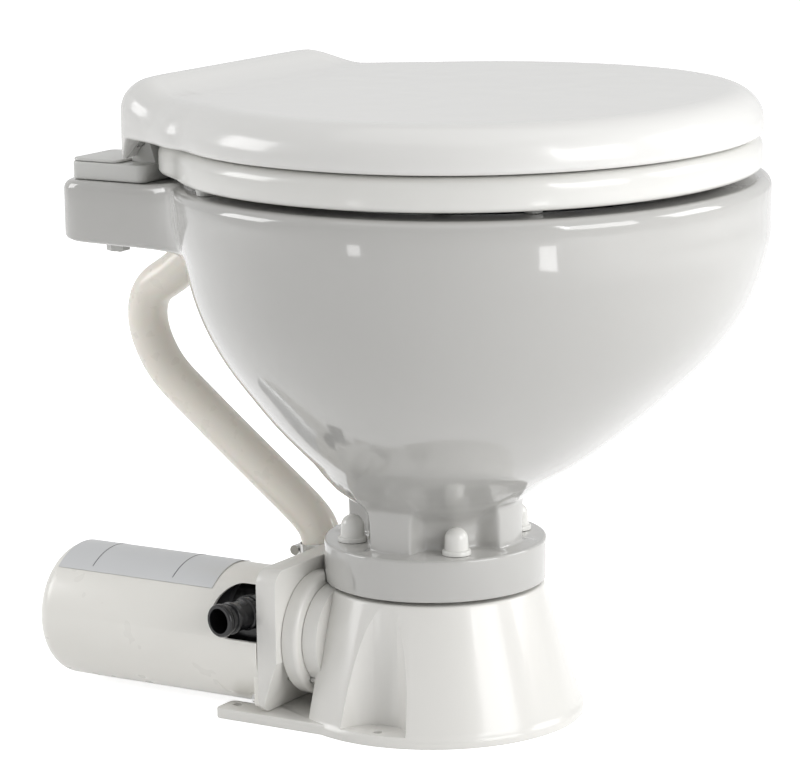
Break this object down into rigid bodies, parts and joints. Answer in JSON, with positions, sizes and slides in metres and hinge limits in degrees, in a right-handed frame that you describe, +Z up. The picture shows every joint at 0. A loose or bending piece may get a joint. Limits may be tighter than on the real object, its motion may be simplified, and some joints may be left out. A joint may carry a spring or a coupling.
{
  "type": "electric marine toilet",
  "caption": "Compact electric marine toilet: white ceramic bowl, seat and lid on a plastic base with a side mounted pump and motor, and a flush hose to the rim.",
  "frame": {"origin": "centre of the base's underside, on the vertical axis of bowl foot and base, at floor level", "axes": "+X to the bowl's front, +Y to the side opposite the water inlet, +Z up"},
  "size_m": [0.441, 0.3516, 0.3842],
  "materials": {
    "ceramic": "glazed ceramic",
    "lid_plastic": "gloss moulded",
    "seat_plastic": "gloss moulded",
    "base_plastic": "satin moulded",
    "cover_plastic": "satin moulded",
    "hinge_plastic": "satin moulded",
    "hose_vinyl": "smooth vinyl",
    "black_plastic": "moulded",
    "rubber": "matt",
    "steel": "stainless",
    "dark_iron": "painted",
    "copper": "wound wire",
    "silver_film": "satin film"
  },
  "bodies": {
    "toilet": {"bowl": "ceramic", "bolt_cap_a": "ceramic", "bolt_cap_b": "ceramic", "bolt_cap_c": "ceramic", "bolt_cap_d": "ceramic", "pump_base": "base_plastic", "macerator_housing": "base_plastic", "pump_bracket": "base_plastic", "motor_cover": "cover_plastic", "hinge_block_near": "hinge_plastic", "hinge_block_far": "hinge_plastic", "hinge_nut_near": "hinge_plastic", "hinge_nut_far": "hinge_plastic", "flush_hose": "hose_vinyl", "water_pump_body": "black_plastic", "inlet_barb": "black_plastic", "outlet_elbow": "black_plastic", "cable_gland": "black_plastic", "bowl_seal": "rubber", "housing_oring": "rubber", "shaft_seal": "rubber", "bowl_bolt_a": "steel", "bowl_bolt_b": "steel", "bowl_bolt_c": "steel", "bowl_bolt_d": "steel", "pump_screw_a": "steel", "pump_screw_b": "steel", "pump_screw_c": "steel", "cover_screw_near": "steel", "cover_screw_far": "steel", "bearing_front": "steel", "bearing_rear": "steel", "hose_clamp_low": "steel", "hose_clamp_top": "steel", "hinge_pin_near": "steel", "hinge_pin_far": "steel", "hinge_bolt_near": "steel", "hinge_bolt_far": "steel", "motor_can": "dark_iron", "motor_end_bell": "dark_iron", "magnet_near": "dark_iron", "magnet_far": "dark_iron", "rating_label": "silver_film"},
    "seat": {"seat": "seat_plastic", "seat_bumper_front_far": "hinge_plastic", "seat_bumper_front_near": "hinge_plastic", "seat_bumper_rear_far": "hinge_plastic", "seat_bumper_rear_near": "hinge_plastic"},
    "lid": {"lid": "lid_plastic"},
    "flap_near": {"hinge_cover_near": "hinge_plastic"},
    "flap_far": {"hinge_cover_far": "hinge_plastic"},
    "rotor": {"motor_shaft": "steel", "armature": "copper", "flush_impeller": "rubber", "discharge_impeller": "black_plastic", "macerator_blade": "steel"}
  },
  "joints": [
    {"name": "seat_hinge", "type": "hinge", "parent": "toilet", "child": "seat", "pos_m": [-0.1495, 0, 0.345], "axis": [0, -1, 0], "range_deg": [0, 95]},
    {"name": "lid_hinge", "type": "hinge", "parent": "seat", "child": "lid", "pos_m": [-0.1495, 0, 0.345], "axis": [0, 1, 0], "range_deg": [-95, 0]},
    {"name": "flap_near", "type": "hinge", "parent": "toilet", "child": "flap_near", "pos_m": [-0.1915, -0.072, 0.3329], "axis": [0, -1, 0], "range_deg": [0, 90]},
    {"name": "flap_far", "type": "hinge", "parent": "toilet", "child": "flap_far", "pos_m": [-0.1915, 0.072, 0.3329], "axis": [0, -1, 0], "range_deg": [0, 90]},
    {"name": "motor_spin", "type": "hinge", "parent": "toilet", "child": "rotor", "pos_m": [0, -0.041, 0.05], "axis": [1, 0, 0], "continuous": true}
  ]
}
